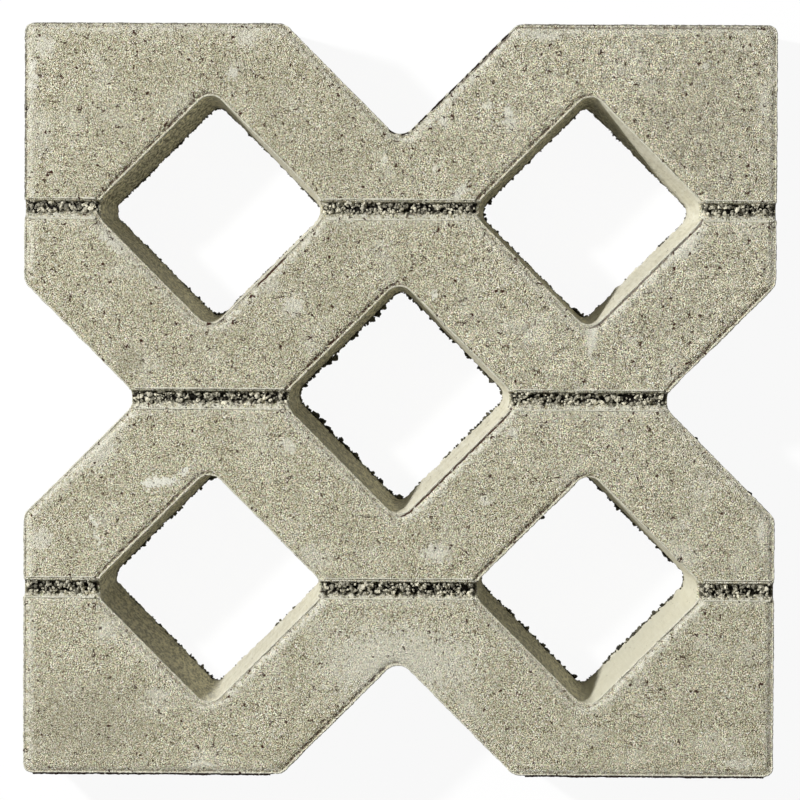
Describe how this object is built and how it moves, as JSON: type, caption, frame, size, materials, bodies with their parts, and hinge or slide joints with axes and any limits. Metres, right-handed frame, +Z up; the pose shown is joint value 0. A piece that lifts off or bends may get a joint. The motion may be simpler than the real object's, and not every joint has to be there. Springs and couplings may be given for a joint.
{
  "type": "grass paver",
  "caption": "Square concrete grass paver with diamond-shaped through cells, half cells in its sides, pressed edges and straight channels across the wearing face.",
  "frame": {"origin": "centre of the flat underside, at the centre of the middle cell", "axes": "+Z up out of the wearing face, +X along the channels, +Y across them towards a side with a plain half cell"},
  "size_m": [0.396, 0.396, 0.08],
  "materials": {
    "concrete": "earth-moist cast concrete, fine sandy wearing face, smooth cement-rich cell walls"
  },
  "bodies": {
    "root": {"paver_block": "concrete"}
  },
  "joints": []
}
